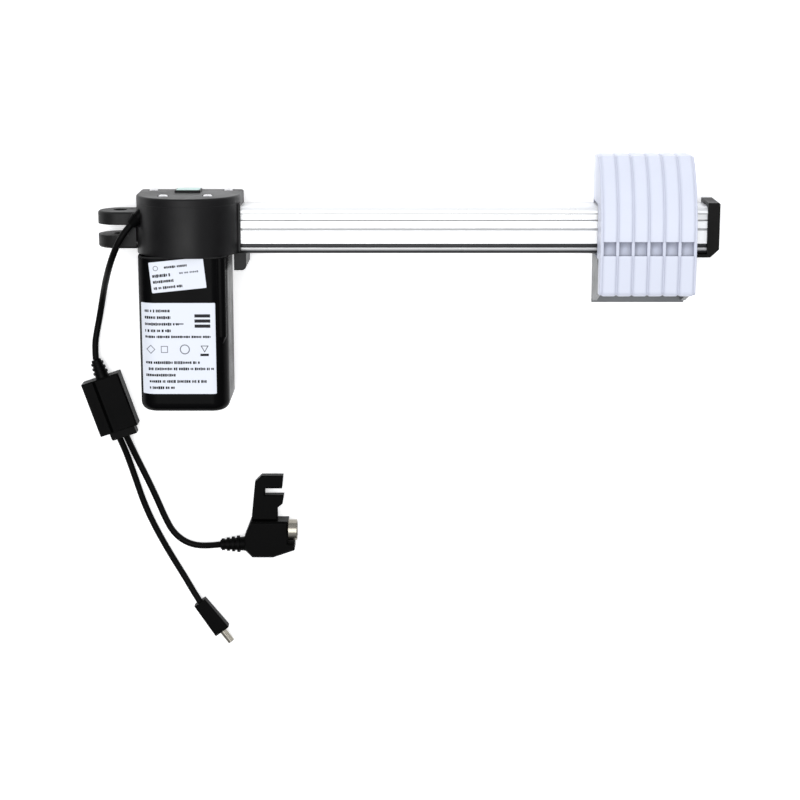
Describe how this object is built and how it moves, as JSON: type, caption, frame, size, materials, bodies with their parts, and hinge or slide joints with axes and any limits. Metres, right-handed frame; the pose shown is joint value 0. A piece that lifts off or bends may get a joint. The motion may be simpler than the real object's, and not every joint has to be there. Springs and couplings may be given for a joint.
{
  "type": "linear actuator",
  "caption": "Electric furniture actuator: worm gear motor with a rear clevis, aluminium rail, ribbed sliding block on a steel bracket, and leads to a DC plug and a round connector.",
  "frame": {"origin": "centre of the base of the box round the object without its cables, on the plane that its flat back rests on", "axes": "+X along the rail from the rear clevis to the end cap, +Z away from the flat back, +Y from the motor towards the gearbox cover"},
  "size_m": [0.4787, 0.3856, 0.07],
  "materials": {
    "gearbox_plastic": "fine-textured black moulding",
    "case_plastic": "satin black moulding",
    "clevis_plastic": "glass-filled black moulding",
    "rail_aluminium": "bright natural anodised extrusion",
    "cap_plastic": "black moulding",
    "slider_plastic": "white acetal, slightly cool",
    "bracket_steel": "zinc-plated sheet",
    "label_paper": "white label stock with grey print",
    "sticker_paper": "pale mint",
    "screw_steel": "zinc-plated",
    "bearing_steel": "ground",
    "spindle_steel": "rolled thread",
    "can_steel": "zinc-plated drawn can",
    "magnet": "ferrite",
    "core_steel": "stacked laminations",
    "copper": "enamelled copper",
    "brush_carbon": "carbon",
    "bush_bronze": "sintered bronze",
    "worm_steel": "hardened",
    "gear_plastic": "natural nylon",
    "nut_plastic": "dark acetal",
    "pad_plastic": "low-friction pad",
    "board": "circuit board",
    "switch_plastic": "black",
    "gasket_rubber": "soft",
    "cable_rubber": "black jacket",
    "connector_plastic": "black moulding",
    "contact_metal": "nickel-plated"
  },
  "bodies": {
    "housing": {"cable_gland": "connector_plastic", "clevis_screws": "screw_steel", "control_board": "board", "date_label": "label_paper", "dc_barrel": "contact_metal", "dc_plug_body": "connector_plastic", "din_body": "connector_plastic", "din_boot": "connector_plastic", "din_clip": "connector_plastic", "din_insulator": "switch_plastic", "din_pins": "contact_metal", "din_shell": "contact_metal", "end_cap_screws": "screw_steel", "gearbox_cover_screws": "screw_steel", "gearbox_housing": "gearbox_plastic", "gearbox_top_cover": "gearbox_plastic", "handset_cable": "cable_rubber", "limit_switch_board": "board", "limit_switches": "switch_plastic", "main_cable": "cable_rubber", "motor_brushes": "brush_carbon", "motor_can": "can_steel", "motor_case": "case_plastic", "motor_case_screws": "screw_steel", "motor_end_bell": "switch_plastic", "motor_front_bearing": "bearing_steel", "motor_gasket": "gasket_rubber", "motor_magnets": "magnet", "motor_mount_screws": "screw_steel", "motor_rear_bush": "bush_bronze", "plug_cable": "cable_rubber", "rail": "rail_aluminium", "rail_clamp_screws": "screw_steel", "rail_end_cap": "cap_plastic", "rating_label": "label_paper", "rear_clevis": "clevis_plastic", "shaft_tip_bush": "bush_bronze", "spindle_end_bush": "bush_bronze", "spindle_front_bearing": "bearing_steel", "spindle_rear_bearing": "bearing_steel", "splitter_boot_in": "cable_rubber", "splitter_boot_out": "cable_rubber", "splitter_narrow_half": "connector_plastic", "splitter_wide_half": "connector_plastic", "top_sticker": "sticker_paper"},
    "rotor": {"rotor_shaft": "bearing_steel", "worm": "worm_steel", "rotor_core": "core_steel", "rotor_windings": "copper", "commutator": "copper"},
    "spindle": {"lead_screw": "spindle_steel", "worm_wheel": "gear_plastic", "spindle_lock_nut": "screw_steel", "wheel_pin": "screw_steel"},
    "slider": {"slider_block": "slider_plastic", "travel_nut": "nut_plastic", "slider_screws": "screw_steel", "slider_bracket": "bracket_steel", "bracket_screws": "screw_steel", "glide_pads": "pad_plastic"}
  },
  "joints": [
    {"name": "motor_spin", "type": "hinge", "parent": "housing", "child": "rotor", "pos_m": [-0.1628, 0.0385, 0.039], "axis": [0, 1, 0], "range_deg": [0, 540000]},
    {"name": "spindle_spin", "type": "hinge", "parent": "housing", "child": "spindle", "pos_m": [-0.1628, 0.0385, 0.022], "axis": [1, 0, 0], "range_deg": [0, 22500]},
    {"name": "slider_travel", "type": "slide", "parent": "housing", "child": "slider", "axis": [1, 0, 0], "range_m": [-0.25, 0]}
  ],
  "couplings": [
    {"joint": "spindle_spin", "follows": "motor_spin", "ratio": 0.041667},
    {"joint": "slider_travel", "follows": "motor_spin", "m_per_rad": -0.000026526}
  ]
}
